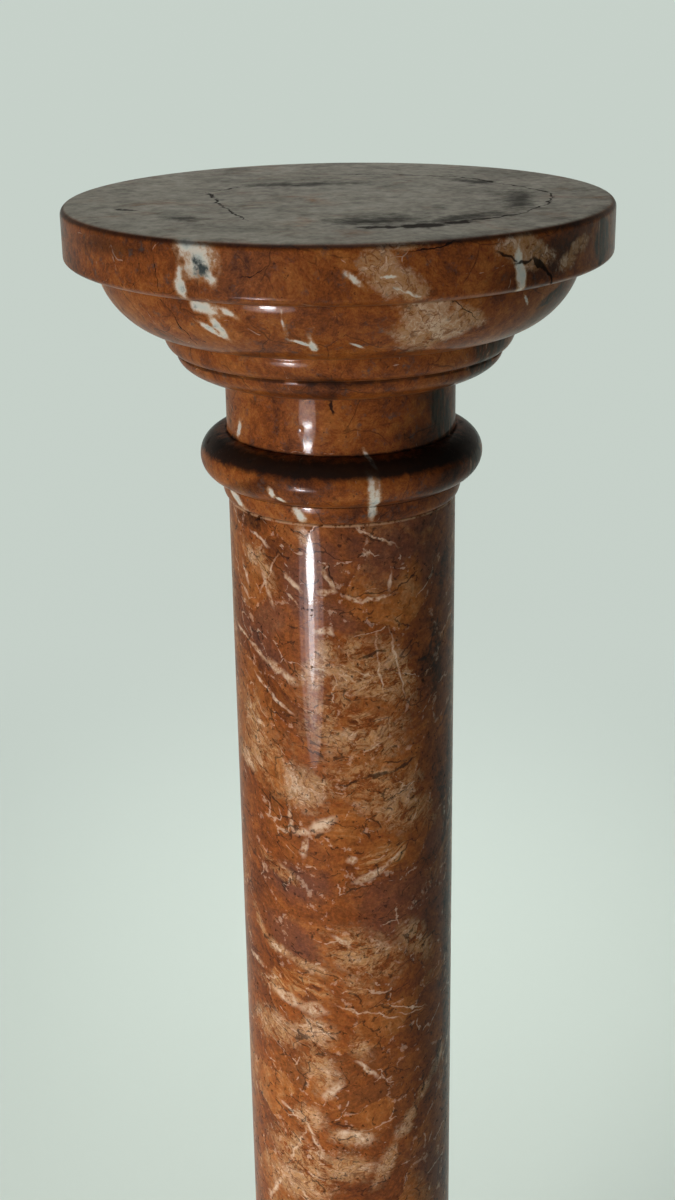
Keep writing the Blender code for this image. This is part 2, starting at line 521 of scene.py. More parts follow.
def edge_group():
    """Painted highlight along the outer edges and painted shade in the inner corners of the turned
    mouldings.
    """
    group, ins, outs = new_group(
        "Edges",
        [("Position", VECTOR, None), ("Arris", NUMBER, 0.0), ("Quirk", NUMBER, 0.0)],
        [("Pale", NUMBER), ("Corner Shade", NUMBER)])
    broken = cloud(group, ins["Position"], 130.0, 3.0, 0.6)
    pale = times(group, calc(group, "POWER", ins["Arris"], 2.5), ramp_mask(group, broken, 0.42, 0.62))
    corner_shade = times(group, ins["Quirk"], ramp_mask(group, broken, 0.30, 0.52))
    group.links.new(pale, outs["Pale"])
    group.links.new(corner_shade, outs["Corner Shade"])
    return group


def finish_group():
    """Polish that varies a little, with duller cracks and veins."""
    group, ins, outs = new_group(
        "Polish",
        [("Position", VECTOR, None), ("Dull", NUMBER, 0.0)],
        [("Roughness", NUMBER), ("Coat", NUMBER), ("Height", NUMBER)])
    smear = cloud(group, ins["Position"], 28.0, 4.0, 0.65)
    base = calc(group, "MULTIPLY_ADD", smear, 0.18, 0.28)
    group.links.new(calc(group, "MULTIPLY_ADD", ins["Dull"], 0.35, base), outs["Roughness"])
    group.links.new(calc(group, "MULTIPLY_ADD", ins["Dull"], -0.4, 0.28, clamp=True), outs["Coat"])
    ripple = cloud(group, ins["Position"], 90.0, 1.0, 0.5)
    pit = cloud(group, ins["Position"], 700.0, 1.0, 0.6)
    pits = times(group, ramp_mask(group, pit, 0.66, 0.76), -0.8)
    group.links.new(calc(group, "MULTIPLY_ADD", ripple, 0.15, pits), outs["Height"])
    return group


MAKERS = {
    "outline": shift_group,
    "ground": ground_group,
    "hair": hair_group,
    "fragments": fragments_group,
    "crushed": crushed_group,
    "specks": speck_group,
    "edges": edge_group,
    "polish": finish_group,
}
GROUPS = {}


def effect(name):
    """The named effect's node group, built on first use."""
    if name not in GROUPS:
        GROUPS[name] = MAKERS[name]()
    return GROUPS[name]


def place_effect(tree, name, position, out, **values):
    """Put a shared effect into a tree at a position, with its own values, and return one output."""
    return use_group(tree, effect(name), {"Position": position, **values})[out]


def wandered(tree, position, scale, amount):
    """The position moved about irregularly."""
    return place_effect(tree, "outline", position, "Position", Scale=scale, Amount=amount)


# Named marks in the stone

def around(azimuth, height, radius):
    """Point at an azimuth in degrees from the front, positive to the right."""
    turn = math.radians(azimuth)
    return Vector((radius * math.sin(turn), -radius * math.cos(turn), height))


def side_mark(outline, mark):
    """A stroke on a turned side: ends as azimuth and drop below the top in mm, then width in mm."""
    azimuth_a, drop_a, azimuth_b, drop_b, width = mark
    ends = []
    for azimuth, drop in ((azimuth_a, drop_a), (azimuth_b, drop_b)):
        height = TOP_HEIGHT - drop * MM
        ends.append(around(azimuth, height, radius_at(outline, height)))
    middle = (ends[0] + ends[1]) / 2
    outward = Vector((middle.x, middle.y, 0.0)).normalized()
    along = ends[1] - ends[0]
    long_axis = (along - outward * along.dot(outward)).normalized()
    cross_axis = outward.cross(long_axis)
    sizes_xyz = (max(along.length / 2, 0.5 * width * MM), 0.5 * width * MM, 20 * MM)
    return middle, (long_axis, cross_axis, outward), sizes_xyz


def top_mark(mark):
    """A stroke on the flat top: ends as x and y in mm, then width in mm."""
    start = Vector((mark[0], mark[1], 0.0)) * MM
    end = Vector((mark[2], mark[3], 0.0)) * MM
    middle = (start + end) / 2 + Vector((0.0, 0.0, TOP_HEIGHT))
    long_axis = (end - start).normalized()
    up = Vector((0.0, 0.0, 1.0))
    sizes_xyz = ((end - start).length / 2, 0.5 * mark[4] * MM, 3 * MM)
    return middle, (long_axis, up.cross(long_axis), up), sizes_xyz


def nearest_mark(tree, vector, marks):
    """Distance to the nearest of the marks, 1 on a mark's outline and 0 at its middle."""
    nearest = None
    for middle, axes, sizes_xyz in marks:
        turn = Matrix(axes).transposed().to_euler()
        local = put(tree, "ShaderNodeMapping",
                    {"Vector": vector, "Location": middle, "Rotation": turn,
                     "Scale": Vector(sizes_xyz) * MARK_REACH}, vector_type="TEXTURE")
        near = put(tree, "ShaderNodeTexGradient", {"Vector": local}, out="Fac", gradient_type="SPHERICAL")
        nearest = near if nearest is None else calc(tree, "MAXIMUM", nearest, near)
    return calc(tree, "MULTIPLY_ADD", nearest, -MARK_REACH, MARK_REACH)


def read_points(mesh):
    """The mesh's points as rows of x, y and z."""
    points = np.empty(len(mesh.vertices) * 3)
    mesh.vertices.foreach_get("co", points)
    return points.reshape(-1, 3)


def mark_distance(points, mark):
    """How far each point is from a mark's middle, 1 on the mark's outline."""
    middle, axes, sizes_xyz = mark
    away = points - np.array(middle)
    local = np.stack([away @ np.array(axis) / size for axis, size in zip(axes, sizes_xyz)], axis=1)
    return np.sqrt((local ** 2).sum(axis=1))


def stamp_marks(block, outline, stamps):
    """Store on each point of a block how near it is to each set of marks, 1 in the middle of one."""
    mesh = block.data
    points = read_points(mesh)
    wander = np.array([noise.noise_vector(Vector(p) * 45.0) * 3.0 + noise.noise_vector(Vector(p) * 140.0)
                       for p in points])
    points = points + wander * MM
    for name, marks in stamps:
        near = np.zeros(len(points))
        for mark in marks:
            near = np.maximum(near, 1.0 - mark_distance(points, side_mark(outline, mark)) / MARK_REACH)
        mesh.attributes.new(name, "FLOAT", "POINT").data.foreach_set("value", near)


def stamped_distance(tree, name):
    """Distance to the nearest of the marks that are stored on the block."""
    return calc(tree, "MULTIPLY_ADD", stored(tree, name), -MARK_REACH, MARK_REACH)


def mark_mask(tree, distance, ragged, amount=0.5, soft=0.2):
    """Mask of the marks with ragged outlines."""
    broken = calc(tree, "MULTIPLY_ADD", calc(tree, "SUBTRACT", ragged, 0.5), amount, distance)
    return ramp_mask(tree, broken, 1.0 + soft, 1.0 - soft)


def stamped_mask(tree, name, ragged, amount, soft):
    return mark_mask(tree, stamped_distance(tree, name), ragged, amount, soft)


def placed_mask(tree, vector, marks, ragged, amount, soft):
    return mark_mask(tree, nearest_mark(tree, vector, marks), ragged, amount, soft)


# Marks on the capital and the shaft, as azimuth, drop, azimuth, drop, width

CAPITAL_CALCITE = (
    (-32, 0, -27, 8, 14), (-28, 4, -25, 15, 20), (-25.5, 12, -23.3, 21, 7), (-31, 12, -30, 31, 6),
    (-34, 32, -27, 41, 7), (-28, 37, -23, 40, 3.5), (-33, 43, -28, 51, 3), (-29.5, 40, -27, 52, 5),
    (35.5, 3, 36, 31, 6), (36.5, 8, 37, 30, 4), (-12.9, 32, -12.2, 51, 2.0), (-12, 51, -6, 52, 1.8),
    (-6.8, 49, -6.2, 57, 4), (2, 53, 5.5, 57, 1.6), (1, 12, 4.5, 21, 3), (4, 19, 11, 16, 2.5),
    (9, 21, 15, 27, 2.5), (44, 37, 47, 43, 2.2), (9.8, 130, 12, 153, 5.5), (12.4, 136, 14.8, 163, 5.5),
    (11, 126, 12.5, 131, 3), (-59, 114, -60, 128, 5), (-29, 143, -27.5, 150, 3.5),
    (-27, 149, -23.5, 152, 3), (-24, 157, -19, 165, 7), (-66, 156, -52, 164, 6),
)
CAPITAL_CORE = (
    (-28.2, 7, -26, 13, 3.5), (-26.6, 11.5, -25, 15.5, 7),
)
CAPITAL_CRUSHED = (
    (3, 10, 10, 12, 16), (4, 15, 15, 22, 15), (7, 3, 16, 1, 6), (10, 20, 16, 27, 11), (12, 34, 24, 40, 18),
    (12, 42, 24, 56, 20), (14, 52, 30, 44, 16), (24, 38, 34, 46, 8), (30, 6, 44, 14, 14),
    (46, 20, 58, 10, 10),
)
CAPITAL_SLATE = (
    (63, 1, 65.5, 27, 20), (44, 68, 66, 74, 14), (50, 76, 66, 92, 18), (50, 98, 68, 130, 22),
    (62, 128, 76, 152, 24), (52, 46, 62, 36, 8), (-68, 128, -64, 132, 10),
)
# Darker streaks of the stone on the left, and painted shade down the right side, away from the key light.
CAPITAL_DARK_STONE_AND_SHADE = (
    (30, 27, 58, 4, 20), (50, 60, 66, 40, 16), (-62, 10, -40, 6, 10), (-16, 78, 10, 82, 6),
    (-34, 66, -20, 64, 5), (-52, 150, -24, 140, 8), (36, 150, 56, 140, 14), (30, 118, 60, 136, 20),
    (38, 84, 60, 108, 24),
)
CAPITAL_CRACKS = (
    (30, 7, 34.5, 14, 1.8), (34, 15, 38.5, 13.5, 2.6), (38, 13, 42.5, 21, 2.4), (42, 20, 45.5, 30, 1.8),
    (12, 3.6, 23, 2.4, 1.0), (-18.5, 17, -12, 10, 0.5), (-37, 8, -35.5, 27, 0.5),
    (-6, 96.4, -3.7, 104, 1.5), (24, 34, 33, 46, 0.6), (-40, 40, -38, 60, 0.5),
)
TOP_CRACKS = (
    (-2, 94, 16, 91, 1.4), (14, 92, 32, 86, 1.6), (30, 87, 52, 82, 1.6), (50, 82, 72, 72, 1.8),
    (70, 73, 84, 60, 2.4), (82, 62, 92, 42, 2.2), (91, 43, 106, 25, 1.8), (105, 26, 116, 3, 2.0),
    (116, 4, 115, -18, 1.6), (115, -16, 109, -38, 1.6), (110, -36, 94, -66, 1.6), (95, -65, 76, -82, 3.0),
    (78, -80, 66, -87, 4.0), (68, -86, 50, -98, 9.0), (55, -97, 28, -105, 12.0), (32, -105, 8, -103, 8.0),
    (-74, 26, -66, 0, 1.6), (-67, 2, -62, -28, 1.8), (-62, -26, -46, -79, 1.4), (-73, 24, -52, 50, 1.4),
    (-118, -30, -106, -39, 4.0),
)
TOP_SHADES = (
    (38, -76, -4, -87, 26), (84, -66, 40, -92, 14), (-88, -63, -68, -73, 12), (-54, 49, 12, 56, 14),
    (70, 62, 88, 44, 12), (98, 10, 92, -50, 16),
)
SHAFT_CALCITE = (
    (-30, 197, -21, 206, 2.4), (-29, 208, -23, 213, 1.5), (-10, 192, -5, 204, 3), (-12, 205, -4, 205, 3),
    (1, 208, 8, 212, 2.5), (8, 212, 24, 209, 2.2), (24, 195, 23, 206, 2), (5, 167, 25, 180, 1.3),
    (-15, 231, -9, 227, 3.5), (-9, 227, -5, 230, 3.5), (-71, 240, -55, 244, 2), (-55, 244, -43, 252, 3),
    (-43, 252, -33, 257, 5), (-33, 257, -25, 263, 4), (-52, 263, -41, 272, 1.6), (-41, 272, -28, 281, 2.2),
    (16, 230, 17, 247, 1.5), (17, 247, 19, 266, 1.3), (23, 233, 31, 270, 1.5), (-52, 176, -40, 182, 2.5),
    (-60, 197, -56, 209, 3), (-44, 198, -38, 217, 2.5), (-35, 190, -45, 210, 1.5), (-31, 342, -29, 357, 3),
    (-29, 357, -19, 356, 4), (-21, 355, -5, 346, 6), (-22, 361, -24, 373, 3.5), (4, 387, 20, 380, 4.5),
    (20, 380, 28, 372, 3), (0, 371, 4, 375, 5), (-8, 424, 1, 431, 3), (-66, 458, -55, 459, 4),
    (-44, 471, -28, 477, 7), (-28, 477, -12, 478, 8), (-5, 474, 14, 480, 1.3), (14, 480, 26, 486, 1.2),
    (20, 475, 44, 486, 1), (28, 484, 43, 487, 1), (-15, 541, -5, 528, 6), (3, 513, 14, 526, 3.5),
    (-41, 554, -25, 562, 3), (-25, 562, -16, 585, 2.5), (-26, 568, -39, 601, 2), (-43, 612, -55, 637, 3),
    (-9, 569, 0, 565, 5), (0, 565, 11, 571, 6),
)
SHAFT_PALE = (
    (-57, 184, -46, 199, 8), (-24, 169, -15, 177, 8), (-20, 264, -13, 243, 17), (-13, 243, -7, 238, 13),
    (-26, 314, -18, 341, 25), (-18, 318, -11, 330, 15), (-60, 421, -51, 439, 6), (-51, 439, -33, 444, 7),
    (-33, 444, -12, 452, 7), (-65, 500, -28, 499, 22), (-28, 488, -11, 502, 20), (-21, 507, -12, 536, 22),
    (-29, 551, -16, 566, 18), (65, 526, 50, 541, 8), (50, 541, 40, 554, 9), (40, 554, 25, 577, 11),
    (25, 577, 13, 608, 12), (-54, 611, -13, 611, 24), (-12, 591, 11, 596, 20), (-77, 321, -49, 321, 12),
    (-12, 569, 11, 571, 12),
)
SHAFT_CRUSHED = (
    (-7, 246, 29, 274, 34), (-18, 271, 28, 302, 42), (-63, 285, -33, 303, 18), (-2, 234, 14, 242, 14),
    (-8, 315, 41, 336, 28), (7, 334, 49, 354, 24), (-10, 427, 28, 450, 30), (28, 422, 50, 449, 18),
    (-56, 469, -16, 470, 12), (-2, 458, 14, 474, 16), (-52, 379, -26, 393, 8), (0, 497, 12, 513, 12),
    (18, 235, 36, 276, 18), (-48, 180, -38, 206, 8), (-60, 300, -30, 330, 24), (-50, 580, -10, 600, 30),
)
SHAFT_WARM = (
    (-41, 312, -33, 332, 14), (-44, 350, -35, 364, 16), (-36, 367, -27, 373, 13), (-15, 358, 4, 354, 15),
    (-9, 386, 0, 381, 9), (-4, 287, 2, 285, 8), (2, 270, 24, 280, 10), (-49, 516, -29, 543, 19),
    (-9, 549, 36, 545, 34), (8, 507, 33, 526, 18), (1, 469, 46, 497, 28), (-58, 556, -30, 566, 20),
    (-48, 290, -33, 301, 14), (35, 191, 29, 237, 20),
)
SHAFT_BANDED = (
    (4, 379, 31, 368, 17), (-48, 460, -10, 466, 17),
)
SHAFT_PLAIN = (
    (-49, 391, -9, 393, 24), (-47, 421, -16, 442, 28), (6, 396, 59, 412, 36), (6, 420, 49, 424, 26),
    (45, 377, 59, 371, 16), (-47, 241, -33, 213, 20), (-22, 223, -27, 188, 18), (36, 590, 73, 641, 24),
    (59, 391, 69, 468, 16), (-14, 214, 6, 226, 16), (-22, 184, 0, 196, 26), (2, 175, 60, 205, 40),
    (24, 168, 60, 172, 12), (-60, 230, -30, 262, 16),
)
# Painted shade, mostly down the right side of the shaft, away from the key light.
SHAFT_PAINTED_SHADE = (
    (-64, 171, -43, 169, 9), (44, 249, 50, 269, 10), (53, 234, 56, 284, 10), (64, 188, 57, 222, 8),
    (52, 542, 61, 522, 6), (69, 498, 71, 576, 8), (58, 330, 68, 410, 8), (71, 290, 71, 650, 16),
)
SHAFT_CRACKS = (
    (8, 245, 21, 242, 2), (53, 234, 45, 253, 2.5), (45, 253, 40, 253, 3), (-5, 201, -8, 186, 0.9),
    (24, 208, 40, 198, 1), (5, 208, 23, 206, 0.9), (-5, 324, 7, 321, 1.6), (7, 321, 23, 318, 2.2),
    (23, 318, 38, 313, 1.2), (-18, 359, -13, 355, 2.5), (-42, 338, -34, 344, 1.2), (43, 548, 47, 539, 2),
)


# Materials

def stone_material(name, build):
    """Start a polished stone material and let build fill in what varies over the surface."""
    material = bpy.data.materials.new(name)
    material.use_nodes = True
    tree = material.node_tree
    shader = tree.nodes["Principled BSDF"]
    shader.inputs["IOR"].default_value = 1.5
    shader.inputs["Specular IOR Level"].default_value = 0.02
    shader.inputs["Coat Roughness"].default_value = 0.04
    shader.inputs["Coat IOR"].default_value = 1.4
    position = put(tree, "ShaderNodeTexCoord", out="Object")
    colour, dull = build(tree, position)
    polish = use_group(tree, effect("polish"), {"Position": position, "Dull": dull})
    tree.links.new(colour, shader.inputs["Base Color"])
    tree.links.new(polish["Roughness"], shader.inputs["Roughness"])
    tree.links.new(polish["Coat"], shader.inputs["Coat Weight"])
    bump = put(tree, "ShaderNodeBump", {"Height": polish["Height"], "Strength": 0.35, "Distance": 0.0004},
               out="Normal")
    tree.links.new(bump, shader.inputs["Normal"])
    return material


def edge_highlight_and_shade(tree, colour, position, paleness, darkness):
    """Painted highlight along the outer edges and painted shade in the inner corners, from the marks on the
    block's points.
    """
    c = colours()
    marks = {"Arris": stored(tree, "arris"), "Quirk": stored(tree, "quirk")}
    edges = use_group(tree, effect("edges"), {"Position": position, **marks})
    # Painted highlight: beige laid along the outer edges; painted shade: black laid into the inner corners.
    colour = paint(tree, colour, edges["Pale"], c.beige, paleness)
    return paint(tree, colour, edges["Corner Shade"], c.black, darkness), edges["Corner Shade"]


def lay_hair(tree, colour, position, rows):
    """Lay sets of hair veins over a colour: each is scale, width, reach, strength and tone."""
    for scale, width, reach, strength, tone in rows:
        line = place_effect(tree, "hair", position, "Mask", Scale=scale, Width=width, Reach=reach)
        colour = paint(tree, colour, line, tone, strength)
    return colour


def plain_marble(tree, position):
    """Rust-brown marble with hair veins and specks, shared by the plainer blocks."""
    c = colours()
    loose = wandered(tree, position, 40.0, 0.014)
    colour = place_effect(tree, "ground", loose, "Colour", Mottling=1.0)
    colour = lay_hair(tree, colour, loose, (
        (24.0, 0.012, 0.46, 0.45, c.black), (58.0, 0.026, 0.52, 0.35, c.black),
        (36.0, 0.014, 0.56, 0.30, c.cream)))
    specks = place_effect(tree, "specks", position, "Mask", Scale=330.0, Rarity=0.66)
    colour = paint(tree, colour, specks, c.black, 0.6)
    return colour, loose


def capital_marble(tree, position):
    """The capital's stone: plain body with its large patches, dark band and cracks; painted shade down its
    right side and in the hollow over the astragal, a painted grey reflection on the flat top and a painted
    dark reflection round its edge.
    """
    c = colours()
    outline = capital_profile(sizes())
    colour, loose = plain_marble(tree, position)
    ragged = cloud(tree, position, 170.0, 5.0, 0.7)
    tight = wandered(tree, position, 120.0, 0.008)

    # Darker streaks of the stone, and painted shade down the right side.
    shade = stamped_mask(tree, "shade", ragged, 1.4, 0.6)
    colour = darken(tree, colour, calc(tree, "MULTIPLY_ADD", shade, -0.5, 1.0))

    crushed = place_effect(tree, "crushed", tight, "Colour", Paleness=0.72)
    mask = stamped_mask(tree, "crushed", ragged, 1.7, 0.3)
    colour = paint(tree, colour, mask, crushed, 0.8)

    streaks = put(tree, "ShaderNodeMapping", {"Vector": position, "Scale": (300.0, 300.0, 60.0)})
    streak = cloud(tree, streaks, 1.0, 4.0, 0.7)
    slate = tones(tree, streak, ((0.38, c.black), (0.48, c.slate), (0.58, c.dark_rust), (0.74, c.beige)))
    mask = stamped_mask(tree, "slate", ragged, 0.9, 0.2)
    colour = paint(tree, colour, mask, slate, 0.9)

    rim = stamped_distance(tree, "calcite")
    depth = calc(tree, "MULTIPLY_ADD", rim, 0.8, spread(tree, ragged, 1.5))
    calcite_tone = tones(tree, depth, ((0.16, c.ice), (0.46, c.calcite), (0.70, c.beige), (0.88, c.ochre)))
    calcite = mark_mask(tree, rim, ragged, 1.7, 0.3)
    colour = paint(tree, colour, calcite, calcite_tone, 0.84)

    core = stamped_mask(tree, "core", ragged, 4.5, 0.7)
    colour = blend(tree, core, colour, c.core)

    above = put(tree, "ShaderNodeSeparateXYZ", {0: position}, out="Z")
    on_top = ramp_mask(tree, above, TOP_HEIGHT - 1.2 * MM, TOP_HEIGHT - 0.1 * MM)
    # Painted reflection: the grey of the pale room painted over the flat top in patches and streaks, darker
    # towards the right.
    sheen = cloud(tree, loose, 30.0, 5.0, 0.66, 0.6)
    sheen_cover = times(tree, on_top, ramp_mask(tree, sheen, 0.08, 0.48))
    sheen_place = put(tree, "ShaderNodeMapping",
                {"Vector": loose, "Rotation": (0.0, 0.0, 0.5), "Scale": (24.0, 34.0, 24.0)})
    sheen_streak = cloud(tree, sheen_place, 1.0, 4.0, 0.65, 0.8)
    gain = calc(tree, "ADD", spread(tree, sheen_streak, 1.1), spread(tree, ragged, 1.5))
    sideways = put(tree, "ShaderNodeSeparateXYZ", {0: position}, out="X")
    level = calc(tree, "MULTIPLY_ADD", ramp_mask(tree, sideways, 0.02, 0.13), -0.17, 0.88)
    top_sheen = darken(tree, c.top_sheen, calc(tree, "ADD", gain, level))
    colour = paint(tree, colour, sheen_cover, top_sheen, 0.95)

    shade = placed_mask(tree, loose, [top_mark(m) for m in TOP_SHADES], ragged, 1.4, 0.7)
    colour = darken(tree, colour, calc(tree, "MULTIPLY_ADD", shade, -0.8, 1.0))

    # Painted reflection: a dark line painted round the top's rounded edge, where it mirrors the dim room
    # above.
    arris_dark_reflection = times(tree, ramp_mask(tree, above, TOP_HEIGHT - 3.6 * MM, TOP_HEIGHT - 1.6 * MM),
                      calc(tree, "SUBTRACT", 1.0, on_top))
    colour = paint(tree, colour, arris_dark_reflection, c.black, 0.8)

    # Painted shade and dark reflection, with some grime: a near-black band painted into the hollow between
    # the neck and the astragal.
    neck_foot = capital_lines(sizes())["neck"]
    under = calc(tree, "ABSOLUTE", calc(tree, "SUBTRACT", above, neck_foot - 4.5 * MM))
    hollow = ramp_mask(tree, calc(tree, "MULTIPLY_ADD", ragged, 6.0 * MM, under), 9.5 * MM, 5.5 * MM)
    colour = paint(tree, colour, hollow, c.black, 0.96)

    marks = [side_mark(outline, m) for m in CAPITAL_CRACKS] + [top_mark(m) for m in TOP_CRACKS]
    cracks = placed_mask(tree, tight, marks, ragged, 1.3, 0.35)
    colour = paint(tree, colour, cracks, c.black, 0.92)

    # Painted highlight on the outer edges and painted shade in the inner corners.
    colour, corner_shade = edge_highlight_and_shade(tree, colour, position, 0.3, 0.7)
    dull = calc(tree, "MAXIMUM", calc(tree, "MAXIMUM", cracks, core), corner_shade)
    return colour, calc(tree, "MAXIMUM", dull, times(tree, on_top, 0.7))


def shaft_marble(tree, position):
    """The shaft's stone: broken fragments in crushed pale stone, laced with white veins, with painted shade
    down its right side.
    """
    c = colours()
    outline = shaft_profile()
    tipped = put(tree, "ShaderNodeVectorRotate", {"Vector": position, "Angle": math.radians(-50.0)},
                 rotation_type="X_AXIS")
    layered = vectors(tree, "MULTIPLY", tipped, (0.8, 0.8, 1.5))
    loose = wandered(tree, layered, 38.0, 0.016)
    both = wandered(tree, loose, 190.0, 0.005)
    tight = wandered(tree, position, 120.0, 0.007)
    ragged = cloud(tree, position, 170.0, 5.0, 0.7)
    place = tree.nodes.new("ShaderNodeSeparateXYZ")
    tree.links.new(position, place.inputs[0])
    round_back = ramp_mask(tree, place.outputs["Y"], -0.030, 0.005)

    ground = place_effect(tree, "ground", both, "Colour", Mottling=1.3)
    pieces = use_group(tree, effect("fragments"), {"Position": both, "Density": 30.0})
    colour = blend(tree, 0.6, ground, pieces["Colour"])

    plain = stamped_mask(tree, "plain", ragged, 1.2, 0.45)
    plain_tone = blend(tree, 0.65, ground, c.brown)
    colour = paint(tree, colour, plain, plain_tone, 0.92)

    zone = cloud(tree, loose, 15.0, 3.0, 0.55)
    beyond = times(tree, ramp_mask(tree, zone, 0.58, 0.64), round_back)
    placed = stamped_mask(tree, "pale", ragged, 1.8, 0.5)
    pale = calc(tree, "MAXIMUM", placed, beyond)
    beyond = times(tree, ramp_mask(tree, zone, 0.50, 0.58), round_back)
    placed = stamped_mask(tree, "crushed", ragged, 1.8, 0.5)
    crush = calc(tree, "MAXIMUM", placed, beyond)
    paleness = calc(tree, "MULTIPLY_ADD", pale, 0.40, 0.30)
    crushed = place_effect(tree, "crushed", both, "Colour", Paleness=paleness)
    colour = paint(tree, colour, crush, crushed, 0.88)

    warm = stamped_mask(tree, "warm", ragged, 1.2, 0.25)
    warm_tone = blend(tree, 0.3, pieces["Colour"], c.orange)
    colour = paint(tree, colour, warm, warm_tone, 0.75)
    colour = paint(tree, colour, pale, crushed, 0.85)

    bands = put(tree, "ShaderNodeMapping", {"Vector": both, "Scale": (60.0, 60.0, 330.0)})
    band = cloud(tree, bands, 1.0, 4.0, 0.7)
    banded = tones(tree, band, ((0.36, c.dark_rust), (0.43, c.rust), (0.50, c.orange), (0.60, c.ochre)))
    ochre = stamped_mask(tree, "banded", ragged, 0.7, 0.1)
    colour = paint(tree, colour, ochre, banded, 0.9)

    salt = cloud(tree, position, 480.0, 3.0, 0.75)
    grain = calc(tree, "ADD", spread(tree, ragged, 1.2), spread(tree, salt, 1.4))
    # Painted shade: the shaft is darkened where the shade marks lie, mostly down its right side, and the
    # grain varies the rest.
    shade = stamped_mask(tree, "shade", ragged, 1.8, 0.6)
    colour = darken(tree, colour, calc(tree, "MULTIPLY_ADD", shade, -0.6, calc(tree, "ADD", grain, 1.0)))

    seam_tone = tones(tree, ragged, ((0.36, c.rust), (0.45, c.beige), (0.58, c.cream)))
    swell = calc(tree, "SUBTRACT", spread(tree, ragged, 0.48), pieces["Edge"])
    seams = ramp_mask(tree, swell, 0.0, 0.035)
    colour = paint(tree, colour, seams, seam_tone, 0.26)
    calcite = placed_mask(tree, tight, [side_mark(outline, m) for m in SHAFT_CALCITE], ragged, 2.2, 0.5)
    colour = paint(tree, colour, calcite, seam_tone, 0.8)

    colour = lay_hair(tree, colour, both, (
        (38.0, 0.024, 0.52, 0.38, c.cream), (52.0, 0.028, 0.47, 0.65, c.black)))
    cracks = placed_mask(tree, tight, [side_mark(outline, m) for m in SHAFT_CRACKS], ragged, 2.4, 0.4)
    colour = paint(tree, colour, cracks, c.black, 0.75)
    specks = place_effect(tree, "specks", position, "Mask", Scale=300.0, Rarity=0.63)
    colour = paint(tree, colour, specks, c.black, 0.7)

    joint = ramp_mask(tree, place.outputs["Z"], SHAFT_HIGH[2] - 1.6 * MM, SHAFT_HIGH[2] - 0.9 * MM)
    grout = times(tree, joint, ramp_mask(tree, ragged, 0.40, 0.50))
    colour = paint(tree, colour, grout, c.beige, 0.75)
    return colour, specks


def foot_marble(tree, position):
    """The stone of the base and the plinth."""
    colour, loose = plain_marble(tree, position)
    crushed = place_effect(tree, "crushed", loose, "Colour", Paleness=0.7)
    zone = cloud(tree, loose, 11.0, 4.0, 0.6)
    colour = paint(tree, colour, ramp_mask(tree, zone, 0.56, 0.64), crushed, 0.75)
    # Painted highlight on the outer edges and painted shade in the inner corners.
    return edge_highlight_and_shade(tree, colour, position, 0.5, 0.8)


# Turned blocks

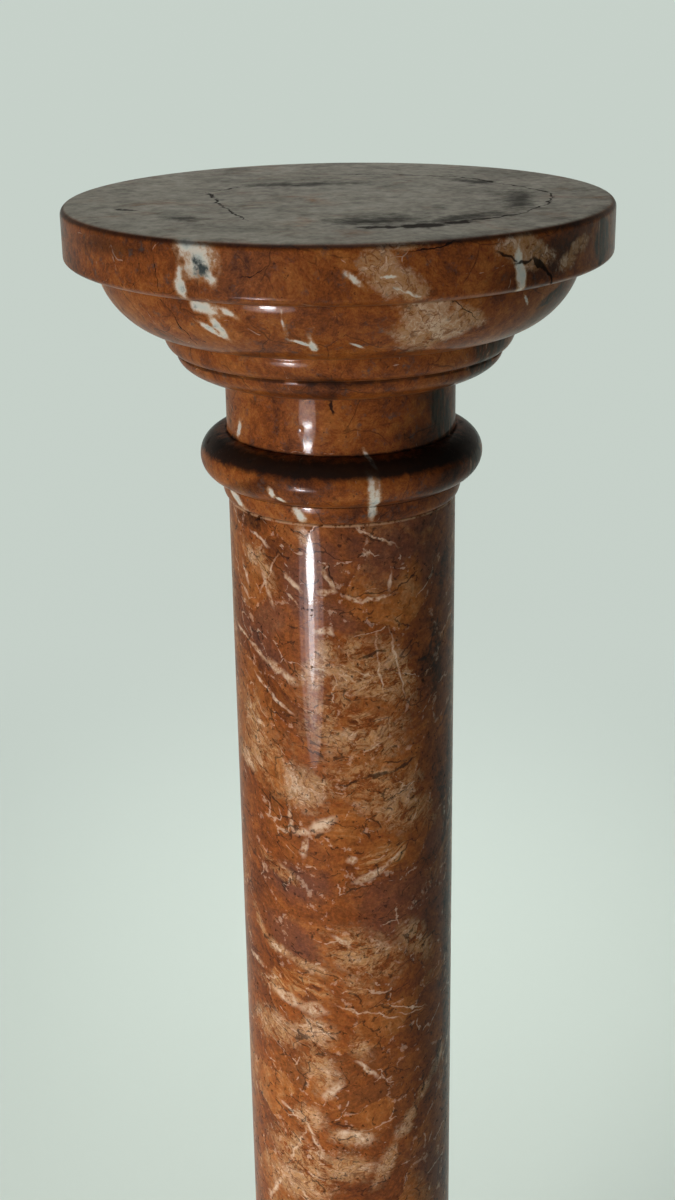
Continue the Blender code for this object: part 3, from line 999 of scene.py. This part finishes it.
def turning_tree():
    """Geometry nodes that turn a profile of points about the Z axis and chip its edges."""
    tree = bpy.data.node_groups.new("Turned Block", "GeometryNodeTree")
    tree.interface.new_socket(name="Profile", in_out="INPUT", socket_type="NodeSocketGeometry")
    for label, kind in (("Sides", "NodeSocketInt"), ("Wear Depth", NUMBER),
                        ("Wear Size", NUMBER), ("Marble", "NodeSocketMaterial")):
        tree.interface.new_socket(name=label, in_out="INPUT", socket_type=kind)
    tree.interface.new_socket(name="Block", in_out="OUTPUT", socket_type="NodeSocketGeometry")
    given = tree.nodes.new("NodeGroupInput").outputs
    result = tree.nodes.new("NodeGroupOutput").inputs

    rows = put(tree, "GeometryNodeAttributeDomainSize", {0: given["Profile"]}, component="MESH")
    columns = calc(tree, "ADD", given["Sides"], 1.0)
    grid = put(tree, "GeometryNodeMeshGrid", {"Vertices X": columns, "Vertices Y": rows})
    index = put(tree, "GeometryNodeInputIndex")
    row = calc(tree, "FLOORED_MODULO", index, rows)
    column = calc(tree, "FLOOR", calc(tree, "DIVIDE", index, rows))

    def along_profile(value, kind):
        sample = {"Geometry": given["Profile"], "Value": value, "Index": row}
        return put(tree, "GeometryNodeSampleIndex", sample, data_type=kind, domain="POINT")

    point = along_profile(put(tree, "GeometryNodeInputPosition"), "FLOAT_VECTOR")
    marks = {}
    for label in ("arris", "quirk"):
        mark = put(tree, "GeometryNodeInputNamedAttribute", {"Name": label}, data_type="FLOAT")
        marks[label] = along_profile(mark, "FLOAT")
    radius = put(tree, "ShaderNodeSeparateXYZ", {0: point}, out="X")
    height = put(tree, "ShaderNodeSeparateXYZ", {0: point}, out="Z")
    angle = times(tree, column, calc(tree, "DIVIDE", math.tau, given["Sides"]))
    side = calc(tree, "SINE", angle)
    front = times(tree, calc(tree, "COSINE", angle), -1.0)

    direction = put(tree, "ShaderNodeCombineXYZ", {0: side, 1: front, 2: 0.0})
    outward = vectors(tree, "SCALE", direction, radius)
    place = put(tree, "ShaderNodeCombineXYZ", {0: 0.0, 1: 0.0, 2: height})
    turned = vectors(tree, "ADD", outward, place)
    chip_scale = calc(tree, "DIVIDE", 1.0, given["Wear Size"])
    chips = put(tree, "ShaderNodeTexNoise", {"Vector": turned, "Scale": chip_scale, "Detail": 2.0})
    bite = times(tree, calc(tree, "SUBTRACT", chips, 0.52, clamp=True), 6.0, clamp=True)
    worn = times(tree, times(tree, bite, marks["arris"]), given["Wear Depth"])
    inward = vectors(tree, "SCALE", direction, times(tree, worn, -1.0))
    final = vectors(tree, "ADD", turned, inward)

    shape = put(tree, "GeometryNodeSetPosition", {"Geometry": grid, "Position": final})
    for label, value in marks.items():
        kept = {"Geometry": shape, "Name": label, "Value": value}
        shape = put(tree, "GeometryNodeStoreNamedAttribute", kept, data_type="FLOAT", domain="POINT")
    shape = put(tree, "GeometryNodeMergeByDistance", {"Geometry": shape, "Distance": 0.01 * MM})
    shape = put(tree, "GeometryNodeSetShadeSmooth", {"Geometry": shape, "Shade Smooth": True})
    shape = put(tree, "GeometryNodeRealizeInstances", {"Geometry": shape})
    shape = put(tree, "GeometryNodeSetMaterial", {"Geometry": shape, "Material": given["Marble"]})
    tree.links.new(shape, result["Block"])
    return tree


def set_inputs(modifier, values):
    """Set a geometry nodes modifier's inputs by their sockets' identifiers."""
    for item in modifier.node_group.interface.items_tree:
        if item.item_type == "SOCKET" and item.in_out == "INPUT" and item.name in values:
            modifier[item.identifier] = values[item.name]


def turn_block(name, outline, spacing, sides, material):
    """Turn an outline into a finished mesh object at the origin."""
    s = sizes()
    rows = dressed_rows(outline, s.arris, spacing)
    mesh = bpy.data.meshes.new(name + "_profile")
    mesh.from_pydata([(r[0].x, 0.0, r[0].y) for r in rows], [(i, i + 1) for i in range(len(rows) - 1)], [])
    for column, label in ((1, "arris"), (2, "quirk")):
        layer = mesh.attributes.new(label, "FLOAT", "POINT")
        layer.data.foreach_set("value", [r[column] for r in rows])
    profile = bpy.data.objects.new(name + "_profile", mesh)
    bpy.context.scene.collection.objects.link(profile)
    tree = bpy.data.node_groups.get("Turned Block") or turning_tree()
    modifier = profile.modifiers.new("turned", "NODES")
    modifier.node_group = tree
    set_inputs(modifier, {"Sides": sides, "Wear Depth": s.wear_depth, "Wear Size": s.wear_size,
                          "Marble": material})
    graph = bpy.context.evaluated_depsgraph_get()
    solid = bpy.data.meshes.new_from_object(profile.evaluated_get(graph))
    bpy.data.objects.remove(profile)
    face_outwards(solid)
    block = bpy.data.objects.new(name, solid)
    bpy.context.scene.collection.objects.link(block)
    return block


def face_outwards(mesh):
    cage = bmesh.new()
    cage.from_mesh(mesh)
    bmesh.ops.recalc_face_normals(cage, faces=cage.faces)
    cage.to_mesh(mesh)
    cage.free()


def press_pits(block, outline, pits):
    """Press small hollows into a block: each is a side mark with its depth in mm at the end."""
    mesh = block.data
    points = read_points(mesh)
    for *stroke, depth in pits:
        mark = side_mark(outline, stroke)
        reach = np.clip(1.0 - mark_distance(points, mark) ** 2, 0.0, 1.0)
        points -= np.outer(reach * depth * MM, np.array(mark[1][2]))
    mesh.vertices.foreach_set("co", points.ravel())
    mesh.update()


# Operators

class COLUMN_OT_capital(bpy.types.Operator):
    """Turn the capital in one block and mark its stone"""

    bl_idname = "column.capital"
    bl_label = "Capital"

    SPACING = 2.1 * MM
    NECK_PITS = (
        (-6.2, 96, -3.6, 104, 3.4, 0.4),
        (25, 104, 29, 108, 2.6, 0.4),
        (11, 96, 12.5, 99, 2.4, 0.4),
        (-20, 114, -18.5, 116, 2.2, 0.3),
    )

    def execute(self, context):
        s = sizes()
        outline = capital_profile(s)
        material = stone_material("capital_marble_finish", capital_marble)
        block = turn_block("capital_block", outline, self.SPACING, s.capital_sides, material)
        press_pits(block, outline, self.NECK_PITS)
        stamp_marks(block, outline, (
            ("shade", CAPITAL_DARK_STONE_AND_SHADE), ("crushed", CAPITAL_CRUSHED), ("slate", CAPITAL_SLATE),
            ("calcite", CAPITAL_CALCITE), ("core", CAPITAL_CORE)))
        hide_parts("capital")
        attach(block, "root")
        return {"FINISHED"}


class COLUMN_OT_shaft(bpy.types.Operator):
    """Turn the plain shaft and mark its stone"""

    bl_idname = "column.shaft"
    bl_label = "Shaft"

    SPACING = 3.2 * MM
    JOINT_PITS = (
        (-36, 167.5, -33, 168.6, 2.2, 0.8),
        (12, 167.4, 14.5, 168.4, 1.8, 0.6),
        (33, 167.4, 37, 168.6, 2.0, 0.7),
        (-5, 167.4, -2.5, 168.2, 1.6, 0.5),
    )

    def execute(self, context):
        s = sizes()
        outline = shaft_profile()
        material = stone_material("shaft_marble_finish", shaft_marble)
        block = turn_block("shaft_block", outline, self.SPACING, s.shaft_sides, material)
        press_pits(block, outline, self.JOINT_PITS)
        stamp_marks(block, outline, (
            ("plain", SHAFT_PLAIN), ("crushed", SHAFT_CRUSHED), ("warm", SHAFT_WARM),
            ("pale", SHAFT_PALE), ("banded", SHAFT_BANDED), ("shade", SHAFT_PAINTED_SHADE)))
        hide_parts("shaft")
        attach(block, "root")
        return {"FINISHED"}


class COLUMN_OT_base(bpy.types.Operator):
    """Turn the base under the shaft"""

    bl_idname = "column.base"
    bl_label = "Base"

    SPACING = 2.4 * MM

    def execute(self, context):
        s = sizes()
        material = stone_material("base_marble_finish", foot_marble)
        block = turn_block("base_block", base_profile(s), self.SPACING, s.shaft_sides, material)
        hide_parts("base")
        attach(block, "root")
        return {"FINISHED"}


class COLUMN_OT_plinth(bpy.types.Operator):
    """Cut the square plinth with softened and slightly chipped edges"""

    bl_idname = "column.plinth"
    bl_label = "Plinth"

    EDGE_RADIUS = 2.5 * MM
    DIVISIONS = 64

    def execute(self, context):
        s = sizes()
        low, high = Vector(PLINTH_LOW), Vector(PLINTH_HIGH)
        inner_low = low + Vector((1, 1, 1)) * self.EDGE_RADIUS
        inner_high = high - Vector((1, 1, 1)) * self.EDGE_RADIUS
        cage = bmesh.new()
        bmesh.ops.create_cube(cage, size=1.0)
        bmesh.ops.subdivide_edges(cage, edges=cage.edges, cuts=self.DIVISIONS, use_grid_fill=True)
        nearness = []
        for vert in cage.verts:
            point = Vector([low[k] + (vert.co[k] + 0.5) * (high[k] - low[k]) for k in range(3)])
            core = Vector([min(max(point[k], inner_low[k]), inner_high[k]) for k in range(3)])
            lean = point - core
            outside = sum(1 for k in range(3) if abs(lean[k]) > 1e-7)
            edge = 1.0 if outside > 1 else 0.0
            worn = 0.0
            if edge and point.z > low.z + 2 * self.EDGE_RADIUS:
                worn = min(max(noise.noise(point / s.wear_size) - 0.15, 0.0) * 4.0, 1.0) * s.wear_depth
            vert.co = core + lean.normalized() * (self.EDGE_RADIUS - worn)
            nearness.append(edge)
        mesh = bpy.data.meshes.new("plinth_block")
        cage.to_mesh(mesh)
        cage.free()
        mesh.attributes.new("arris", "FLOAT", "POINT").data.foreach_set("value", nearness)
        mesh.shade_smooth()
        mesh.materials.append(stone_material("plinth_marble_finish", foot_marble))
        block = bpy.data.objects.new("plinth_block", mesh)
        context.scene.collection.objects.link(block)
        face_outwards(mesh)
        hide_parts("plinth")
        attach(block, "root")
        return {"FINISHED"}


class COLUMN_OT_stage(bpy.types.Operator):
    """Lay the plain pale floor and set up the soft lights and the camera"""

    bl_idname = "column.stage"
    bl_label = "Stage"

    PHOTO_HEIGHT = 1200
    FOCAL_PIXELS = 1763.0
    CAMERA_SIDE = -0.0036
    CAMERA_BACK = 0.9732
    CAMERA_ABOVE_TOP = 0.1391
    CAMERA_PITCH = 21.009
    CAMERA_ROLL = -0.906
    SENSOR = 24.0
    ROOM_FRONT = (0.05, 0.05, 0.045)
    ROOM_BACK = (0.30, 0.285, 0.25)
    ROOM_ABOVE = (1.25, 1.30, 1.25)
    WALL = (0.56, 0.63, 0.58)
    FLOOR_CLEAR = 0.8
    FLOOR_GONE = 2.2
    FLOOR_SIZE = 400.0

    WARM = (1.0, 0.96, 0.91)
    COOL = (0.96, 0.97, 1.0)
    PLAIN = (0.97, 1.0, 0.98)
    SHAFT_MIDDLE = (0.0, 0.0, 0.80)

    # Name, place, target, size, power, colour and cone in degrees
    PANELS = (
        ("key_panel", (-1.75, -1.9, 0.60), (0.0, 0.0, 0.22), (1.2, 0.9), 12.2, WARM, 60.0),
        ("fill_panel", (2.2, -1.3, 1.0), SHAFT_MIDDLE, (1.2, 1.0), 0.25, COOL, 60.0),
        ("back_panel", (0.0, 2.6, 1.1), (0.0, 0.0, 0.55), (1.4, 1.0), 6.0, PLAIN, 50.0),
        ("near_ceiling", (0.0, 2.3, 3.0), (0.0, 2.3, 0.0), (0.8, 3.2), 6.8, PLAIN, 40.0),
        ("middle_ceiling", (0.0, 6.0, 4.0), (0.0, 6.0, 0.0), (3.0, 3.0), 12.0, PLAIN, 60.0),
        ("far_ceiling", (0.0, 24.0, 9.0), (0.0, 24.0, 0.0), (20.0, 40.0), 2900.0, PLAIN, 180.0),
    )
    # Name, place, size, power and colour
    LAMPS = (
        ("low_strip", (-0.72, -1.12, 0.425), (0.19, 0.09), 4.8, COOL),
        ("low_fade", (-0.72, -1.12, 0.335), (0.14, 0.14), 1.6, COOL),
        ("inner_glow", (-0.74, -1.15, 0.34), (0.34, 0.30), 2.4, (1.0, 0.93, 0.95)),
        ("low_glow", (-0.76, -1.18, 0.32), (0.62, 0.40), 4.6, (1.0, 0.90, 0.92)),
        ("neck_glow", (-0.76, -1.18, 0.607), (0.42, 0.09), 1.1, (1.0, 0.90, 0.90)),
        ("upper_window", (-0.72, -1.12, 0.620), (0.24, 0.007), 0.65, COOL),
        ("lower_window", (-0.72, -1.12, 0.594), (0.22, 0.012), 0.95, COOL),
    )

    def execute(self, context):
        scene = context.scene
        self.lay_floor()
        self.set_world(scene)
        self.hang_lights(scene)
        self.set_camera(scene)
        scene.view_settings.view_transform = "Standard"
        scene.view_settings.look = "None"
        scene.view_settings.exposure = 0.0
        return {"FINISHED"}

    def lay_floor(self):
        bpy.ops.mesh.primitive_plane_add(size=self.FLOOR_SIZE, location=(0.0, 0.0, 0.0))
        floor = bpy.context.object
        floor.name = "floor"
        material = bpy.data.materials.new("plain_floor")
        material.use_nodes = True
        tree = material.node_tree
        shader = tree.nodes["Principled BSDF"]
        away = put(tree, "ShaderNodeVectorMath", {0: put(tree, "ShaderNodeTexCoord", out="Object")},
                   out="Value", operation="LENGTH")
        seen = put(tree, "ShaderNodeLightPath", out="Is Camera Ray")
        distant = times(tree, ramp_mask(tree, away, self.FLOOR_CLEAR, self.FLOOR_GONE), seen)
        tree.links.new(blend(tree, distant, colours().floor, (0.0, 0.0, 0.0)), shader.inputs["Base Color"])
        tree.links.new(blend(tree, distant, (0.0, 0.0, 0.0), self.WALL), shader.inputs["Emission Color"])
        shader.inputs["Emission Strength"].default_value = 1.0
        shader.inputs["Roughness"].default_value = 0.9
        shader.inputs["Specular IOR Level"].default_value = 0.1
        floor.data.materials.append(material)

    def set_world(self, scene):
        """A soft room: pale behind the column, dimmer overhead and on the camera's side."""
        world = bpy.data.worlds.new("soft_room")
        world.use_nodes = True
        tree = world.node_tree
        ray = put(tree, "ShaderNodeTexCoord", out="Generated")
        split = tree.nodes.new("ShaderNodeSeparateXYZ")
        tree.links.new(ray, split.inputs[0])
        behind = ramp_mask(tree, split.outputs["Y"], -0.1, 0.9)
        low = ramp_mask(tree, split.outputs["Z"], 0.6, 0.1)
        above = ramp_mask(tree, split.outputs["Z"], 0.80, 0.97)
        room = blend(tree, times(tree, behind, low), self.ROOM_FRONT, self.ROOM_BACK)
        room = blend(tree, above, room, self.ROOM_ABOVE)
        seen = put(tree, "ShaderNodeLightPath", out="Is Camera Ray")
        room = blend(tree, seen, room, self.WALL)
        backdrop = tree.nodes["Background"]
        tree.links.new(room, backdrop.inputs["Color"])
        backdrop.inputs["Strength"].default_value = 1.0
        scene.world = world

    def hang_lights(self, scene):
        """Soft panels that the polish doesn't mirror, and small lamps that show only as highlights."""
        for name, place, target, size, power, colour, cone in self.PANELS:
            light = self.hang(scene, name, "RECTANGLE", place, target, size, power, colour)
            light.data.spread = math.radians(cone)
            light.visible_glossy = False
        for name, place, size, power, colour in self.LAMPS:
            light = self.hang(scene, name, "ELLIPSE", place, self.SHAFT_MIDDLE, size, power, colour)
            light.visible_diffuse = False

    def hang(self, scene, name, shape, place, target, size, power, colour):
        data = bpy.data.lights.new(name, "AREA")
        data.shape = shape
        data.size, data.size_y = size
        data.energy = power
        data.color = colour
        light = bpy.data.objects.new(name, data)
        light.location = place
        light.rotation_euler = (Vector(target) - Vector(place)).to_track_quat("-Z", "Y").to_euler()
        light.visible_camera = False
        scene.collection.objects.link(light)
        return light

    def set_camera(self, scene):
        pitch = math.radians(self.CAMERA_PITCH)
        roll = math.radians(self.CAMERA_ROLL)
        forward = Vector((0.0, math.cos(pitch), -math.sin(pitch)))
        level = Vector((1.0, 0.0, 0.0))
        upward = level.cross(forward)
        right = level * math.cos(roll) + upward * math.sin(roll)
        above = upward * math.cos(roll) - level * math.sin(roll)
        data = bpy.data.cameras.new("camera")
        data.sensor_fit = "VERTICAL"
        data.sensor_height = self.SENSOR
        data.lens = self.SENSOR * self.FOCAL_PIXELS / self.PHOTO_HEIGHT
        data.clip_start = 0.01
        camera = bpy.data.objects.new("camera", data)
        turn = Matrix((right, above, -forward)).transposed().to_4x4()
        spot = Vector((self.CAMERA_SIDE, -self.CAMERA_BACK, TOP_HEIGHT + self.CAMERA_ABOVE_TOP))
        camera.matrix_world = Matrix.Translation(spot) @ turn
        scene.collection.objects.link(camera)
        scene.camera = camera


class COLUMN_PT_panel(bpy.types.Panel):
    """Lists the column's pieces and the stage"""

    bl_idname = "COLUMN_PT_panel"
    bl_label = "Marble Column"
    bl_space_type = "VIEW_3D"
    bl_region_type = "UI"
    bl_category = "Column"

    def draw(self, context):
        for step in STEPS:
            self.layout.operator(step.bl_idname)


STEPS = (COLUMN_OT_stage, COLUMN_OT_capital, COLUMN_OT_shaft, COLUMN_OT_base, COLUMN_OT_plinth)
CLASSES = (ColumnSizes, ColumnColours, *STEPS, COLUMN_PT_panel)


def register():
    for item in CLASSES:
        bpy.utils.register_class(item)
    bpy.types.Scene.column_sizes = PointerProperty(type=ColumnSizes)
    bpy.types.Scene.column_colours = PointerProperty(type=ColumnColours)


def unregister():
    del bpy.types.Scene.column_colours
    del bpy.types.Scene.column_sizes
    for item in reversed(CLASSES):
        bpy.utils.unregister_class(item)


def main():
    register()
    bpy.ops.column.stage()
    bpy.ops.column.capital()
    bpy.ops.column.shaft()
    bpy.ops.column.base()
    bpy.ops.column.plinth()


if __name__ == "__main__":
    main()
